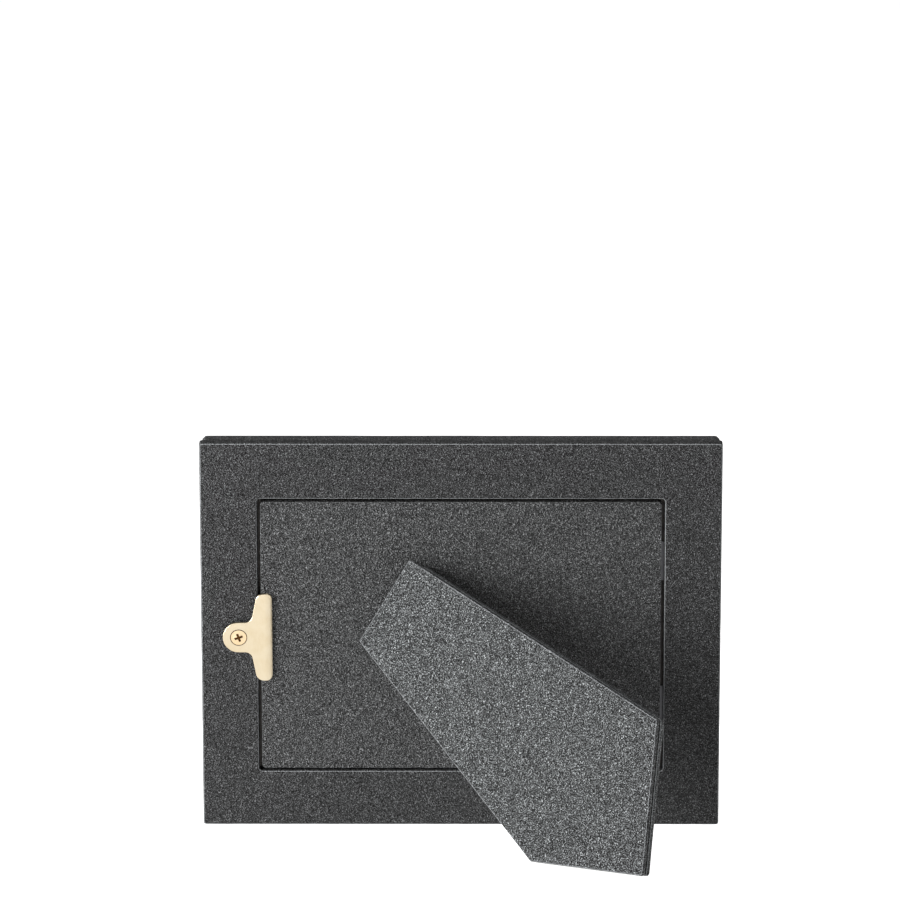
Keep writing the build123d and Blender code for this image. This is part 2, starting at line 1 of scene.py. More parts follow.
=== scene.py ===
import bpy
import bmesh
from math import cos, radians, sin, tan
from mathutils import Matrix, Vector, noise
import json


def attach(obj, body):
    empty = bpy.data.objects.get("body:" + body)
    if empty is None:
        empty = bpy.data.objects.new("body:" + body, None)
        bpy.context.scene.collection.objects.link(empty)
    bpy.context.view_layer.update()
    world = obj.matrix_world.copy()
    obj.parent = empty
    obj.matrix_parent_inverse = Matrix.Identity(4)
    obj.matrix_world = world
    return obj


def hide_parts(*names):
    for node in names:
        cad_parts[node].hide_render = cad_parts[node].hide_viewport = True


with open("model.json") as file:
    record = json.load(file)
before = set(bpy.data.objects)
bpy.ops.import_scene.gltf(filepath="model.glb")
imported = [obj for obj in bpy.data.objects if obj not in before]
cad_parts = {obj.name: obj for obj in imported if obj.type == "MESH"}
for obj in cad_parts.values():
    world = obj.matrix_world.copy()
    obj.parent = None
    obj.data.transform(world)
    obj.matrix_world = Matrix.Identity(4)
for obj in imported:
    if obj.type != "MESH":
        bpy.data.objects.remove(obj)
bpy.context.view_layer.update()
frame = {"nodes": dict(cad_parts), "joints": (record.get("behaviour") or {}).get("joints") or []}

# ---- Where things are ----
# The frame leans back on its open easel leg. Work on the back is laid out flat: u across it, v up it and
# w out of it, from the middle of its bottom edge. The turn-button's axis gives the way the back faces.
joints = {joint["name"]: joint for joint in frame["joints"]}
outward = Vector(joints["button_turn"]["axis"]).normalized()
across = Vector((-1, 0, 0))
up_back = outward.cross(across)
back_axes = Matrix((across, up_back, outward)).transposed()


def extent(node, axes):
    """Lowest and highest corner of a node, measured along these axes."""
    corners = [axes.transposed() @ vertex.co for vertex in frame["nodes"][node].data.vertices]
    return Vector(map(min, zip(*corners))), Vector(map(max, zip(*corners)))


border_low, border_high = extent("back_ring_leather", back_axes)
back_width = border_high.x - border_low.x
back_height = border_high.y - border_low.y
back_corner = Vector(((border_low.x + border_high.x) / 2, border_low.y, border_high.z))
on_back = Matrix.Translation(back_axes @ back_corner) @ back_axes.to_4x4()

# ---- Rails ----
# Four softwood rails stained black, mitred and nailed, with a rabbet for the glass and print. The leather
# covers them, so only their planed grain matters where the panel's gap shows them.
def new_finish(name, colour, roughness, **settings):
    """A finish with its plain values set on the shader itself."""
    finish = bpy.data.materials.new(name)
    finish.use_nodes = True
    shader = finish.node_tree.nodes["Principled BSDF"]
    shader.inputs["Base Color"].default_value = (*colour, 1)
    shader.inputs["Roughness"].default_value = roughness
    for label, value in settings.items():
        shader.inputs[label.replace("_", " ")].default_value = value
    return finish


def pattern(finish, kind, scale, stretch=(1, 1, 1), turn=(0, 0, 0), warp=None, **settings):
    """A pattern on the piece's own coordinates, scale being repeats to the metre."""
    nodes, links = finish.node_tree.nodes, finish.node_tree.links
    place = nodes.new("ShaderNodeTexCoord")
    mapping = nodes.new("ShaderNodeMapping")
    mapping.inputs["Scale"].default_value = stretch
    mapping.inputs["Rotation"].default_value = [radians(angle) for angle in turn]
    links.new(place.outputs["Object"], mapping.inputs["Vector"])
    where = mapping.outputs["Vector"]
    if warp:
        sway = nodes.new("ShaderNodeTexNoise")
        sway.inputs["Scale"].default_value = warp[0]
        shift = nodes.new("ShaderNodeMixRGB")
        shift.blend_type = "LINEAR_LIGHT"
        shift.inputs["Fac"].default_value = warp[1]
        links.new(where, sway.inputs["Vector"])
        links.new(where, shift.inputs["Color1"])
        links.new(sway.outputs["Color"], shift.inputs["Color2"])
        where = shift.outputs["Color"]
    texture = nodes.new(kind)
    links.new(where, texture.inputs["Vector"])
    texture.inputs["Scale"].default_value = scale
    for label, value in settings.items():
        if label in ("feature", "wave_type", "bands_direction"):
            setattr(texture, label, value)
        else:
            texture.inputs[label.replace("_", " ")].default_value = value
    return texture.outputs[0]


def spread(finish, source, low, high, from_low=0.0, from_high=1.0):
    """Turn a pattern's values from one range into another, smoothly and within limits."""
    ramp = finish.node_tree.nodes.new("ShaderNodeMapRange")
    ramp.interpolation_type = "SMOOTHSTEP"
    ramp.inputs["From Min"].default_value = from_low
    ramp.inputs["From Max"].default_value = from_high
    ramp.inputs["To Min"].default_value = low
    ramp.inputs["To Max"].default_value = high
    finish.node_tree.links.new(source, ramp.inputs["Value"])
    return ramp.outputs["Result"]


def combine(finish, operation, first, second):
    """Two patterns, or a pattern and a number, worked into one."""
    node = finish.node_tree.nodes.new("ShaderNodeMath")
    node.operation = operation
    for socket, value in zip(node.inputs, (first, second)):
        if isinstance(value, (int, float)):
            socket.default_value = value
        else:
            finish.node_tree.links.new(value, socket)
    return node.outputs[0]


def tint(finish, factor, low, high):
    """Colour the surface between two colours by a pattern."""
    mix = finish.node_tree.nodes.new("ShaderNodeMix")
    mix.data_type = "RGBA"
    mix.inputs["A"].default_value = (*low, 1)
    mix.inputs["B"].default_value = (*high, 1)
    finish.node_tree.links.new(factor, mix.inputs["Factor"])
    shader = finish.node_tree.nodes["Principled BSDF"]
    finish.node_tree.links.new(mix.outputs["Result"], shader.inputs["Base Color"])


def vary_roughness(finish, factor, low, high):
    """Let the roughness follow a pattern."""
    shader = finish.node_tree.nodes["Principled BSDF"]
    finish.node_tree.links.new(spread(finish, factor, low, high), shader.inputs["Roughness"])


def emboss(finish, height, depth, strength=1.0):
    """Raise the surface by a pattern, on top of what is already raised."""
    nodes, links = finish.node_tree.nodes, finish.node_tree.links
    shader = nodes["Principled BSDF"]
    bump = nodes.new("ShaderNodeBump")
    bump.inputs["Distance"].default_value = depth
    bump.inputs["Strength"].default_value = strength
    links.new(height, bump.inputs["Height"])
    before = shader.inputs["Normal"].links
    if before:
        links.new(before[0].from_socket, bump.inputs["Normal"])
    links.new(bump.outputs["Normal"], shader.inputs["Normal"])


def dress(finish, *nodes):
    """Give CAD nodes this finish."""
    for node in nodes:
        for place in frame["nodes"][node].material_slots:
            place.material = finish


lean_deg = 10.5
lean_turn = (lean_deg, 0, 0)


def softwood(name, stretch):
    """Planed pine, its grain running where the stretch is short."""
    wood = new_finish(name, (0.03, 0.025, 0.022), 0.62)
    growth = pattern(wood, "ShaderNodeTexNoise", 240, stretch, lean_turn, Detail=5, Roughness=0.55)
    fibre = pattern(wood, "ShaderNodeTexNoise", 1900, stretch, lean_turn, Detail=3)
    lines = combine(wood, "FRACT", combine(wood, "MULTIPLY", growth, 7.0), 0.0)
    tint(wood, combine(wood, "ADD", spread(wood, lines, 0, 0.75), spread(wood, fibre, 0, 0.25)),
         (0.045, 0.036, 0.030), (0.012, 0.010, 0.009))
    vary_roughness(wood, fibre, 0.5, 0.75)
    emboss(wood, fibre, 0.00008, 0.5)
    return wood


dress(softwood("softwood_long", (0.06, 1, 1)), "rail_top", "rail_bottom")
dress(softwood("softwood_short", (1, 1, 0.06)), "rail_button_side", "rail_tongue_side")

# ---- Corner nails ----
# Two V-shaped steel nails driven across each mitre from the back, under the border. They're blackened strip,
# with the faint lengthwise marks of the roll.
def blackened_steel(name, colour, roughness):
    """Oiled black-oxide steel, cloudy, with fine drawn lines."""
    steel = new_finish(name, colour, roughness, Metallic=1.0)
    clouds = pattern(steel, "ShaderNodeTexNoise", 420, Detail=4, Roughness=0.6)
    lines = pattern(steel, "ShaderNodeTexNoise", 900, (0.05, 1, 6), lean_turn, Detail=4)
    tint(steel, clouds, [shade * 0.78 for shade in colour], [min(1, shade * 1.12) for shade in colour])
    vary_roughness(steel, combine(steel, "MULTIPLY", clouds, lines), roughness - 0.1, roughness + 0.35)
    emboss(steel, lines, 0.00002, 0.4)
    return steel


dress(blackened_steel("nail_steel", (0.16, 0.16, 0.165), 0.42), "corner_nails")

# ---- Moulding leather ----
# One skin of black fine-grain leather, glued over the rails and thin padding, mitred and closed by a seam at
# each corner. It turns into the window in front and stops short of the border behind, which leaves a groove.
hair = 0.00001
leather_thick = 0.0008
moulding_low, moulding_high = extent("front_leather", back_axes)
moulding_width = moulding_high.x - moulding_low.x
moulding_height = moulding_high.y - moulding_low.y
moulding_front = moulding_low.z - back_corner.z
moulding_back = moulding_high.z - back_corner.z
window_width = 0.1464
window_height = 0.0956
window_wall = 0.0061
front_round = 0.0019
moulding_corner = 0.002
padding_rise = 0.00045
seam_sink = 0.00018
seam_half = 0.00006
opening_corner = 0.0012
shade_break_deg = 38
# Painted highlight: skin vertices halfway between face and wall are lightened towards this grey.
highlight_tilt = 0.75
highlight_spread = 0.25
edge_highlight_colour = (0.22, 0.228, 0.235)
# Painted shade: the bottom of the leg's pressed crease is darkened towards this near-black.
crease_shade_colour = (0.004, 0.004, 0.004)


def outline(mesh, corners, radii):
    """A flat face with rounded corners."""
    points = [mesh.verts.new((x, y, 0)) for x, y in corners]
    mesh.faces.new(points)
    turns = []
    for index, point in enumerate(points):
        before = (points[index - 1].co - point.co).normalized()
        after = (points[(index + 1) % len(points)].co - point.co).normalized()
        turns.append(tan((radians(180) - before.angle(after)) / 2))
    for point, turn, radius in zip(points, turns, radii):
        bmesh.ops.bevel(mesh, geom=[point], offset=radius * turn, offset_type="OFFSET", affect="VERTICES",
                        segments=4, profile=0.5, material=-1)


def rectangle(mesh, width, height, middle, radius):
    """A rectangle with rounded corners, its middle this far up the back."""
    low, high = middle - height / 2, middle + height / 2
    corners = [(-width / 2, low), (width / 2, low), (width / 2, high), (-width / 2, high)]
    outline(mesh, corners, [radius] * 4)


def cut_sides(mesh, sides, cuts):
    """Cut each of the longest edges into equal lengths."""
    longest = sorted(mesh.edges, key=lambda edge: -edge.calc_length())[:sides]
    bmesh.ops.subdivide_edges(mesh, edges=longest, cuts=cuts)


def ring(mesh, width, height, radius, opening_width, opening_height, opening_radius, cuts):
    """A flat border round an opening, with a line of edges on each diagonal."""
    middle = back_height / 2
    rectangle(mesh, width, height, middle, radius)
    rectangle(mesh, opening_width, opening_height, middle, opening_radius)
    bmesh.ops.delete(mesh, geom=mesh.faces[:], context="FACES_ONLY")
    cut_sides(mesh, 8, cuts)
    bmesh.ops.bridge_loops(mesh, edges=mesh.edges[:])


def drop(mesh, edges, depth):
    """Turn a skin down over these edges, into a wall this deep."""
    grown = bmesh.ops.extrude_edge_only(mesh, edges=edges)["geom"]
    bmesh.ops.translate(mesh, verts=[item for item in grown if isinstance(item, bmesh.types.BMVert)],
                        vec=(0, 0, -depth))


def on_level(edge, level):
    """Whether an edge lies at this height."""
    return all(abs(vert.co.z - level) < hair for vert in edge.verts)


def rim(mesh, level):
    """The edges at this height where a flat skin meets a wall."""
    found = []
    for edge in mesh.edges:
        if on_level(edge, level) and len(edge.link_faces) == 2:
            tilts = sorted(abs(face.normal.z) for face in edge.link_faces)
            if tilts[0] < 0.5 < tilts[1]:
                found.append(edge)
    return found


def round_over(mesh, edges, radius, segments):
    """Round these edges over."""
    bmesh.ops.bevel(mesh, geom=edges, offset=radius, offset_type="OFFSET", affect="EDGES",
                    segments=segments, profile=0.5, material=-1, clamp_overlap=True)


def wander(mesh, amount, size):
    """Let a hand-laid skin wander a little where it's rounded or upright."""
    mesh.normal_update()
    moves = []
    for vert in mesh.verts:
        if any(abs(face.normal.z) < 0.97 for face in vert.link_faces):
            moves.append((vert, vert.normal * noise.noise(vert.co / size) * amount))
    for vert, move in moves:
        vert.co += move


def mark_edge_highlight(mesh):
    """Note where a painted highlight goes on a skin, halfway round its edges."""
    mesh.normal_update()
    edge_highlight = mesh.verts.layers.float.new("edge_highlight")
    for vert in mesh.verts:
        facing = sum((face.normal * face.calc_area() for face in vert.link_faces), Vector())
        tilt = abs(facing.normalized().z)
        vert[edge_highlight] = max(0.0, 1 - abs(tilt - highlight_tilt) / highlight_spread)


def make_skin(mesh, name, place, thickness, finish, body, slot, *nodes):
    """Put a skin in its place, give it thickness inwards, and let it stand for its nodes."""
    bmesh.ops.recalc_face_normals(mesh, faces=mesh.faces[:])
    # Record where the painted highlight goes along the rounded edges.
    mark_edge_highlight(mesh)
    turned_in = max(mesh.faces, key=lambda face: abs(face.normal.z) * face.calc_area()).normal.z < 0
    if turned_in != (place.determinant() < 0):
        bmesh.ops.reverse_faces(mesh, faces=mesh.faces[:])
    mesh.transform(place)
    data = bpy.data.meshes.new(name)
    mesh.to_mesh(data)
    mesh.free()
    data.materials.append(finish)
    data.shade_smooth()
    data.set_sharp_from_angle(angle=radians(shade_break_deg))
    made = bpy.data.objects.new(name, data)
    bpy.context.scene.collection.objects.link(made)
    wall = made.modifiers.new("leather_thickness", "SOLIDIFY")
    wall.thickness = thickness
    wall.offset = -1
    wall.use_even_offset = True
    shading = made.modifiers.new("even_shading", "WEIGHTED_NORMAL")
    shading.keep_sharp = True
    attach(made, body)
    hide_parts(*nodes)
    return made


def paint_edge_highlight_and_crease_shade(hide):
    """Paint highlights onto the leather's rounded edges and paint shade into its creases."""
    nodes, links = hide.node_tree.nodes, hide.node_tree.links
    base = nodes["Principled BSDF"].inputs["Base Color"].links[0].from_socket
    for label, shade in (("edge_highlight", edge_highlight_colour), ("crease_shade", crease_shade_colour)):
        mark = nodes.new("ShaderNodeAttribute")
        mark.attribute_name = label
        mix = nodes.new("ShaderNodeMix")
        mix.data_type = "RGBA"
        links.new(spread(hide, mark.outputs["Fac"], 0, 1, 0.35, 0.9), mix.inputs["Factor"])
        links.new(base, mix.inputs["A"])
        mix.inputs["B"].default_value = (*shade, 1)
        base = mix.outputs["Result"]
    links.new(base, nodes["Principled BSDF"].inputs["Base Color"])


def grained_leather(name, top, valley, roughness, grain, depth, glint):
    """Black leather: uneven pebbles and fine pores with painted glints and painted shade, and patches of
    uneven dye or handling.
    """
    hide = new_finish(name, top, roughness, Specular_IOR_Level=0.1)
    pebbles = pattern(hide, "ShaderNodeTexVoronoi", grain, warp=(grain * 0.6, 0.0003), feature="F1")
    small = pattern(hide, "ShaderNodeTexVoronoi", grain * 1.9, feature="F1")
    pores = pattern(hide, "ShaderNodeTexNoise", grain * 2.0, Detail=1.5)
    patches = pattern(hide, "ShaderNodeTexNoise", 42, Detail=4, Roughness=0.6)
    glint_patches = pattern(hide, "ShaderNodeTexNoise", grain * 0.45, Detail=3, Roughness=0.7)
    domes = combine(hide, "SUBTRACT", 1.0, pebbles)
    relief = combine(hide, "ADD", combine(hide, "MULTIPLY", domes, 0.65),
                     combine(hide, "MULTIPLY", small, -0.35))
    crest = spread(hide, relief, 0.25, 1, 0.1, 0.5)
    # Painted glints and shade: colour rises from the dark valley to the light top on pebble crests and sparse
    # specks.
    painted_glints = combine(hide, "MULTIPLY", spread(hide, pores, 0, 1, glint, glint + 0.16),
                     spread(hide, glint_patches, 0.45, 1.0, 0.3, 0.6))
    tint(hide, combine(hide, "MULTIPLY", crest, painted_glints), valley, top)
    # Painted highlight on the rounded edges, painted shade in the crease.
    paint_edge_highlight_and_crease_shade(hide)
    vary_roughness(hide, combine(hide, "MULTIPLY", spread(hide, pores, 0.4, 1.0, 0.3, 0.7), patches),
                   roughness - 0.14, roughness + 0.3)
    emboss(hide, relief, depth)
    emboss(hide, pores, depth * 0.4, 0.8)
    return hide


black_leather = grained_leather("black_leather", (0.24, 0.245, 0.249), (0.003, 0.003, 0.003), 0.47, 1350,
                                0.0007, 0.44)
# The leg's leather is the black leather painted lighter, for the stronger light that falls on the leg's face.
leg_leather_lit_copy = grained_leather("leg_leather", (0.41, 0.43, 0.438), (0.003, 0.003, 0.003), 0.45, 1250,
                                     0.0009, 0.46)

skin = bmesh.new()
ring(skin, moulding_width, moulding_height, moulding_corner, window_width, window_height, opening_corner,
     30)
outer_edges = [edge for edge in skin.edges if edge.is_boundary and
               max(abs(vert.co.x) for vert in edge.verts) > window_width / 2 + hair or edge.is_boundary and
               max(abs(vert.co.y - back_height / 2) for vert in edge.verts) > window_height / 2 + hair]
inner_edges = [edge for edge in skin.edges if edge.is_boundary and edge not in outer_edges]
drop(skin, outer_edges, moulding_back - moulding_front)
drop(skin, inner_edges, window_wall)
bmesh.ops.recalc_face_normals(skin, faces=skin.faces[:])
round_over(skin, rim(skin, 0), front_round, 6)
flats = [edge for edge in skin.edges if on_level(edge, 0) and edge.calc_length() > 0.012]
bmesh.ops.subdivide_edges(skin, edges=flats, cuts=7)
for vert in skin.verts:
    from_window = max(abs(vert.co.x) - window_width / 2, abs(vert.co.y - back_height / 2) - window_height / 2)
    border = (moulding_width - window_width) / 2
    share = min(1, max(-1, (from_window - border / 2) / (border / 2 - front_round)))
    if abs(vert.co.z) < front_round + hair:
        vert.co.z -= padding_rise * share * share
    on_seam = abs(abs(vert.co.x) - moulding_width / 2 - abs(vert.co.y - back_height / 2) + moulding_height / 2)
    if on_seam < seam_half:
        vert.co -= seam_sink * (vert.normal if vert.normal.length else Vector((0, 0, 1)))
wander(skin, 0.00006, 0.009)
front_place = on_back @ Matrix.Translation((0, 0, moulding_front)) @ Matrix.Diagonal((1, 1, -1, 1))
make_skin(skin, "moulding_leather", front_place, leather_thick, black_leather, "frame", "leather",
          "front_leather")

# ---- Border ----
# The flat ring behind: fibreboard wrapped in leather tinted a little darker than the panel's, turned over
# the outer edge and into the opening.
border_thick = border_high.z - border_low.z
opening_width = 0.1584
opening_height = 0.1129
edge_round = 0.0009
corner_round = 0.001

board = new_finish("fibreboard", (0.30, 0.20, 0.12), 0.8)
fibres = pattern(board, "ShaderNodeTexNoise", 900, (1, 1, 3), Detail=6, Roughness=0.7)
flecks = pattern(board, "ShaderNodeTexVoronoi", 1400, feature="F1")
tint(board, combine(board, "MULTIPLY", fibres, spread(board, flecks, 0.6, 1.2)),
     (0.16, 0.10, 0.055), (0.46, 0.33, 0.20))
vary_roughness(board, fibres, 0.65, 0.95)
emboss(board, fibres, 0.0001, 0.7)
dress(board, "back_ring_board", "panel_board")


border_leather = grained_leather("border_leather", (0.17, 0.1735, 0.177), (0.0025, 0.0025, 0.0025), 0.5, 1350,
                                 0.0007, 0.44)
skin = bmesh.new()
ring(skin, back_width, back_height, corner_round, opening_width, opening_height, opening_corner, 44)
drop(skin, [edge for edge in skin.edges if edge.is_boundary], border_thick)
bmesh.ops.recalc_face_normals(skin, faces=skin.faces[:])
round_over(skin, rim(skin, 0), edge_round, 5)
wander(skin, 0.00007, 0.006)
make_skin(skin, "border_wrap", on_back, leather_thick, border_leather, "frame", "leather", "back_ring_leather")

# ---- In the rabbet ----
# A pane of picture glass, the print against it, and a grey filler card that keeps the print flat.
glass = new_finish("picture_glass", (0.93, 0.97, 0.95), 0.02, Transmission_Weight=1.0, IOR=1.52)
smears = pattern(glass, "ShaderNodeTexNoise", 55, Detail=5, Roughness=0.65)
vary_roughness(glass, spread(glass, smears, 0, 1, 0.5, 0.8), 0.01, 0.09)
emboss(glass, smears, 0.00001, 0.2)
dress(glass, "glass_pane")

paper = new_finish("print_paper", (0.80, 0.79, 0.76), 0.42)
tooth = pattern(paper, "ShaderNodeTexNoise", 2600, Detail=4, Roughness=0.6)
clouding = pattern(paper, "ShaderNodeTexNoise", 90, Detail=3)
tint(paper, combine(paper, "MULTIPLY", tooth, clouding), (0.84, 0.83, 0.80), (0.74, 0.73, 0.70))
vary_roughness(paper, tooth, 0.34, 0.55)
emboss(paper, tooth, 0.00003, 0.4)
dress(paper, "print_card")

grey_card = new_finish("grey_card", (0.36, 0.35, 0.33), 0.9)
card_fibres = pattern(grey_card, "ShaderNodeTexNoise", 1300, (1, 0.4, 1), Detail=6, Roughness=0.7)
card_flecks = pattern(grey_card, "ShaderNodeTexVoronoi", 700, feature="F1")
tint(grey_card, combine(grey_card, "MULTIPLY", card_fibres, spread(grey_card, card_flecks, 0.5, 1.3)),
     (0.24, 0.23, 0.215), (0.48, 0.47, 0.44))
emboss(grey_card, card_fibres, 0.00007, 0.6)
dress(grey_card, "filler_card")

# ---- Removable panel ----
# A wrapped fibreboard that drops into the opening. Two steel tongues go under the border on one side, the
# turn-button holds the other, and a black velvet lining closes it inside.
panel_low, panel_high = extent("panel_leather", back_axes)
panel_width = panel_high.x - panel_low.x
panel_height = panel_high.y - panel_low.y
panel_thick = panel_high.z - panel_low.z
panel_round = 0.0015
panel_rim = 0.003
leaf_room = 0.00003

hinge_way = Vector(joints["leg_hinge"]["axis"]).normalized()
hinge_point = Vector(joints["leg_hinge"]["pos_m"])
down_closed = hinge_way.cross(outward)
leaf_axes = Matrix((hinge_way, -down_closed, outward)).transposed()
leaf_low, leaf_high = extent("hinge_panel_leaf", leaf_axes)

skin = bmesh.new()
rectangle(skin, panel_width, panel_height, back_height / 2, panel_round)
cut_sides(skin, 4, 40)
bmesh.ops.inset_region(skin, faces=skin.faces[:], thickness=panel_rim, use_even_offset=True)
inside = max(skin.faces, key=lambda face: face.calc_area())
around = inside.edges[:]
bmesh.ops.delete(skin, geom=[inside], context="FACES_ONLY")
to_back = on_back.inverted() @ leaf_axes.to_4x4()
leaf_left, leaf_right = leaf_low.x - leaf_room, leaf_high.x + leaf_room
leaf_foot, leaf_head = leaf_low.y - leaf_room, leaf_high.y + leaf_room
leaf_plan = [(leaf_left, leaf_foot), (leaf_right, leaf_foot), (leaf_right, leaf_head), (leaf_left, leaf_head)]
leaf_level = leaf_axes.col[2].dot(on_back.translation)
leaf_spots = [skin.verts.new(to_back @ Vector((*spot, leaf_level))) for spot in leaf_plan]
leaf_sides = [skin.edges.new((leaf_spots[index - 1], leaf_spots[index])) for index in range(4)]
bmesh.ops.triangle_fill(skin, use_beauty=True, edges=around + leaf_sides)
outer = [edge for edge in skin.edges if edge.is_boundary and
         (max(abs(vert.co.x) for vert in edge.verts) > panel_width / 2 - panel_round
          or max(abs(vert.co.y - back_height / 2) for vert in edge.verts) > panel_height / 2 - panel_round)]
drop(skin, outer, panel_thick)
bmesh.ops.recalc_face_normals(skin, faces=skin.faces[:])
round_over(skin, rim(skin, 0), edge_round, 5)
wander(skin, 0.00009, 0.004)
make_skin(skin, "panel_wrap", on_back, leather_thick, black_leather, "frame", "leather", "panel_leather")

velvet = new_finish("black_velvet", (0.012, 0.012, 0.013), 0.95, Sheen_Weight=0.6, Sheen_Roughness=0.4)
pile = pattern(velvet, "ShaderNodeTexNoise", 2400, Detail=5, Roughness=0.7)
brushed = pattern(velvet, "ShaderNodeTexNoise", 60, (1, 1, 2), Detail=3)
tint(velvet, combine(velvet, "MULTIPLY", pile, brushed), (0.006, 0.006, 0.007), (0.045, 0.045, 0.048))
emboss(velvet, pile, 0.0002, 0.8)
dress(velvet, "panel_lining")
dress(blackened_steel("tongue_steel", (0.09, 0.09, 0.095), 0.48), "panel_tongues")

# ---- Hinge ----
# Five steel knuckles round one pin, their two leaves let in flush and riveted. Stop lugs on the leg's
# knuckles meet the panel leaf when the leg is open.
dress(blackened_steel("hinge_steel", (0.13, 0.13, 0.135), 0.40), "hinge_panel_leaf", "hinge_leg_leaf")
dress(blackened_steel("pin_steel", (0.20, 0.20, 0.205), 0.3), "hinge_pin")
dress(blackened_steel("rivet_steel", (0.17, 0.17, 0.175), 0.34), "hinge_panel_rivets", "hinge_leg_rivets")

# ---- Easel leg ----
# Two wrapped boards glued back to back over a thin black card, set in from the edge so it shows as a dark
# seam. The leather turns in at the seam, and a crease is pressed just inside the outer board's rounded edge.
open_angle = radians(joints["leg_hinge"]["range_deg"][1])
leg_out = outward * cos(open_angle) - down_closed * sin(open_angle)
leg_down = down_closed * cos(open_angle) + outward * sin(open_angle)
leg_axes = Matrix((hinge_way, -leg_down, leg_out)).transposed()
leg_high = extent("leg_outer_leather", leg_axes)[1]
hinge_edge = 0.0393
leg_start = Vector((hinge_way.dot(hinge_point) - hinge_edge / 2, leg_high.y, leg_high.z))
on_leg = Matrix.Translation(leg_axes @ leg_start) @ leg_axes.to_4x4()
leg_corners = [(0, 0), (-0.021461, -0.114678), (0.004361, -0.158598), (0.055979, -0.128419), (hinge_edge, 0)]
leg_corner_round = 0.0012
leg_leather = 0.0006
leg_corner_spare = 0.02
leg_layer = 0.0025
crease_in = 0.00125
crease_half = 0.00035
crease_deep = 0.00026
leg_turn_in = 0.0011
seam_edge_round = 0.00085


def turn_under(mesh, reach):
    """Turn the lower edge of a wall in underneath, by this much."""
    mesh.normal_update()
    low_edges = [edge for edge in mesh.edges if edge.is_boundary]
    ways = {}
    for edge in low_edges:
        for vert in edge.verts:
            facing = sum((face.normal for face in vert.link_faces), Vector())
            ways[tuple(round(value, 7) for value in vert.co)] = Vector((facing.x, facing.y, 0)).normalized()
    grown = bmesh.ops.extrude_edge_only(mesh, edges=low_edges)["geom"]
    for vert in [item for item in grown if isinstance(item, bmesh.types.BMVert)]:
        vert.co -= ways[tuple(round(value, 7) for value in vert.co)] * reach


def wrapped_layer(corners, creased):
    """The skin of one of the leg's boards, face up, from its face down to the seam."""
    layer = bmesh.new()
    crease_shade = layer.verts.layers.float.new("crease_shade")
    outline(layer, corners, [leg_corner_round] * 5)
    if creased:
        for thickness, depth in ((crease_in, 0), (crease_half, -crease_deep), (crease_half, 0)):
            bmesh.ops.inset_region(layer, faces=[max(layer.faces, key=lambda face: face.calc_area())],
                                   thickness=thickness, use_even_offset=True)
            for vert in max(layer.faces, key=lambda face: face.calc_area()).verts:
                vert.co.z = depth
                # The crease bottom is marked for painted shade.
                vert[crease_shade] = depth / -crease_deep
    cut = sorted(layer.edges, key=lambda edge: -edge.calc_length())
    layer_edges = [edge for edge in cut if edge.calc_length() > leg_corner_spare]
    bmesh.ops.subdivide_edges(layer, edges=layer_edges, cuts=30)
    drop(layer, [edge for edge in layer.edges if edge.is_boundary], leg_layer)
    turn_under(layer, leg_turn_in)
    bmesh.ops.recalc_face_normals(layer, faces=layer.faces[:])
    round_over(layer, rim(layer, 0), edge_round, 5)
    round_over(layer, rim(layer, -leg_layer), seam_edge_round, 4)
    wander(layer, 0.00006, 0.005)
    return layer


make_skin(wrapped_layer(leg_corners, True), "leg_outer_wrap", on_leg, leg_leather, leg_leather_lit_copy, "leg",
          "leather", "leg_outer_leather")

inner_low, inner_high = extent("leg_inner_leather", leg_axes)
cut_back = leg_high.y - inner_high.y
low_slope = leg_corners[1][0] / leg_corners[1][1]
high_slope = (leg_corners[3][0] - hinge_edge) / leg_corners[3][1]
inner_corners = [(-cut_back * low_slope, -cut_back)] + leg_corners[1:4]
inner_corners.append((hinge_edge - cut_back * high_slope, -cut_back))
flipped = on_leg @ Matrix.Translation((0, 0, inner_low.z - leg_high.z)) @ Matrix.Diagonal((1, 1, -1, 1))
make_skin(wrapped_layer(inner_corners, False), "leg_inner_wrap", flipped, leg_leather, leg_leather_lit_copy,
          "leg", "leather", "leg_inner_leather")

black_card = new_finish("black_card", (0.006, 0.006, 0.006), 0.95)
card_tooth = pattern(black_card, "ShaderNodeTexNoise", 2000, Detail=5, Roughness=0.7)
tint(black_card, card_tooth, (0.003, 0.003, 0.003), (0.012, 0.012, 0.012))
emboss(black_card, card_tooth, 0.00005, 0.5)
# The boards' edges show in the seam, so they're blacked like the card.
dress(black_card, "leg_card", "leg_inner_board", "leg_outer_board")

# ---- Turn-button ----
# A stamped brass plate with a satin gold finish, turning on a brass screw over a washer. The lip of its bar
# is rolled down to press on the panel.
def darken_recess_dirt_and_shade(brass, source, low, high):
    """Darken brass where this value falls from high to low: old lacquer and dirt in a recess, with painted
    shade.
    """
    nodes, links = brass.node_tree.nodes, brass.node_tree.links
    shader = nodes["Principled BSDF"]
    mix = nodes.new("ShaderNodeMix")
    mix.data_type = "RGBA"
    links.new(spread(brass, source, 0, 1, low, high), mix.inputs["Factor"])
    mix.inputs["A"].default_value = (*recess_dirt_and_shade, 1)
    links.new(shader.inputs["Base Color"].links[0].from_socket, mix.inputs["B"])
    links.new(mix.outputs["Result"], shader.inputs["Base Color"])


def from_point(brass, operation, spot):
    """How far a place is from this spot, or how far it lies along this way."""
    nodes, links = brass.node_tree.nodes, brass.node_tree.links
    measure = nodes.new("ShaderNodeVectorMath")
    measure.operation = operation
    links.new(nodes.new("ShaderNodeTexCoord").outputs["Object"], measure.inputs[0])
    measure.inputs[1].default_value = spot
    return measure.outputs["Value"]


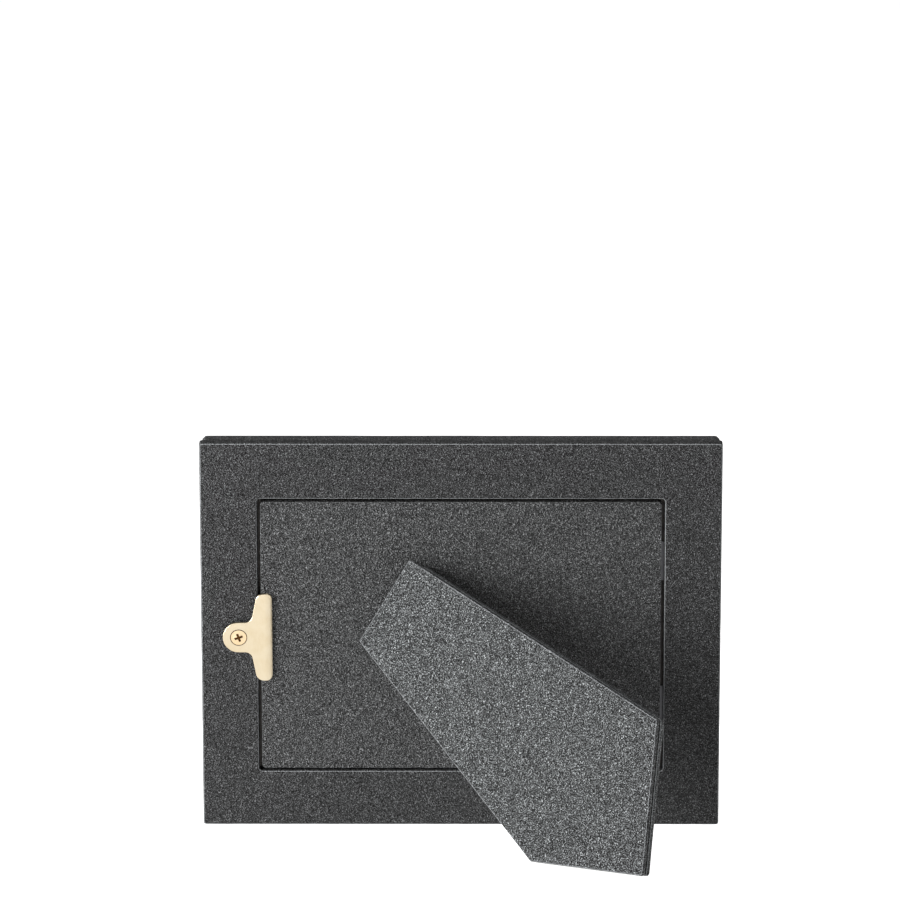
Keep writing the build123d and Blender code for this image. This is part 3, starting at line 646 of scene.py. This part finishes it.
def satin_brass(name, pale, deep, roughness):
    """Satin brass: fine brushed lines, a faintly cloudy lacquer and small handling marks."""
    brass = new_finish(name, pale, roughness, Metallic=1.0)
    lines = pattern(brass, "ShaderNodeTexNoise", 2600, (1, 1, 0.04), lean_turn, Detail=5, Roughness=0.6)
    clouds = pattern(brass, "ShaderNodeTexNoise", 160, Detail=4)
    marks = pattern(brass, "ShaderNodeTexVoronoi", 1100, (1, 1, 0.3), feature="DISTANCE_TO_EDGE")
    tint(brass, combine(brass, "MULTIPLY", spread(brass, clouds, 0.0, 1.0, 0.3, 0.7), lines), pale, deep)
    scratches = spread(brass, marks, 0.3, 0.0, 0.0, 0.05)
    polish = combine(brass, "ADD", combine(brass, "MULTIPLY", lines, 0.6), scratches)
    vary_roughness(brass, polish, roughness - 0.08, roughness + 0.16)
    emboss(brass, lines, 0.00001, 0.5)
    return brass


# Dirt with painted shade, for the recesses of the button and the screw.
recess_dirt_and_shade = (0.05, 0.022, 0.006)
seat_radius = 0.00335
seat_depth = 0.0005
recess_depth = 0.00045
button_point = Vector(joints["button_turn"]["pos_m"])
button_high = extent("turn_button", back_axes)[1].z
screw_high = extent("button_screw", back_axes)[1].z
seat = button_point + outward * (button_high - seat_depth - outward.dot(button_point))
button_brass = satin_brass("button_brass", (0.43, 0.37, 0.27), (0.38, 0.31, 0.20), 0.34)
# Dirt and painted shade in the seat ring round the screw.
darken_recess_dirt_and_shade(button_brass, from_point(button_brass, "DISTANCE", seat), seat_radius, seat_radius + 0.00008)
dress(button_brass, "turn_button")
dress(satin_brass("washer_brass", (0.47, 0.395, 0.30), (0.42, 0.335, 0.225), 0.36), "button_washer")
screw_brass = satin_brass("screw_brass", (0.50, 0.39, 0.25), (0.43, 0.31, 0.17), 0.28)
screw_level = screw_high - recess_depth
# Dirt and painted shade in the screw's cross and round its head, below the dome.
darken_recess_dirt_and_shade(screw_brass, from_point(screw_brass, "DOT_PRODUCT", outward), screw_level - 0.0002, screw_level)
dress(screw_brass, "button_screw")

# ---- Studio ----
# A plain white table in a white tent, with one large soft light from the button's side and a small one
# overhead that draws the upper edges.
white = new_finish("white_table", (0.92, 0.92, 0.92), 0.7, Emission_Color=(1, 1, 1, 1), Emission_Strength=0.78)
surface = bmesh.new()
bmesh.ops.create_grid(surface, x_segments=8, y_segments=8, size=12)
table_data = bpy.data.meshes.new("table")
surface.to_mesh(table_data)
surface.free()
table_data.materials.append(white)
table = bpy.data.objects.new("table", table_data)
bpy.context.scene.collection.objects.link(table)

world = bpy.data.worlds.new("white_tent")
world.use_nodes = True
world.node_tree.nodes["Background"].inputs["Color"].default_value = (1, 1, 1, 1)
world.node_tree.nodes["Background"].inputs["Strength"].default_value = 0.25
bpy.context.scene.world = world

aim = Vector((0.004302, -0.04568, 0.1492))


def soft_light(name, direction, distance, size, power):
    """A square softbox that faces the frame."""
    lamp = bpy.data.lights.new(name, "AREA")
    lamp.size = size
    lamp.energy = power
    lamp_object = bpy.data.objects.new(name, lamp)
    way = Vector(direction).normalized()
    lamp_object.location = aim + way * distance
    lamp_object.rotation_euler = way.to_track_quat("Z", "Y").to_euler()
    bpy.context.scene.collection.objects.link(lamp_object)


soft_light("key_softbox", (1.0, 0.6, 0.15), 1.4, 0.8, 66)
soft_light("top_strip", (-0.3, 0.25, 0.95), 1.1, 0.35, 7)

camera_data = bpy.data.cameras.new("camera")
camera_data.sensor_width = 36
camera_data.lens = 286.2
camera_data.clip_end = 60
camera = bpy.data.objects.new("camera", camera_data)
turn, rise = radians(-0.184), radians(8.246)
toward = Vector((sin(turn) * cos(rise), cos(turn) * cos(rise), sin(rise)))
camera.location = aim + toward * 2.8
camera.rotation_euler = toward.to_track_quat("Z", "Y").to_euler()
bpy.context.scene.collection.objects.link(camera)
bpy.context.scene.camera = camera
bpy.context.scene.view_settings.view_transform = "Standard"
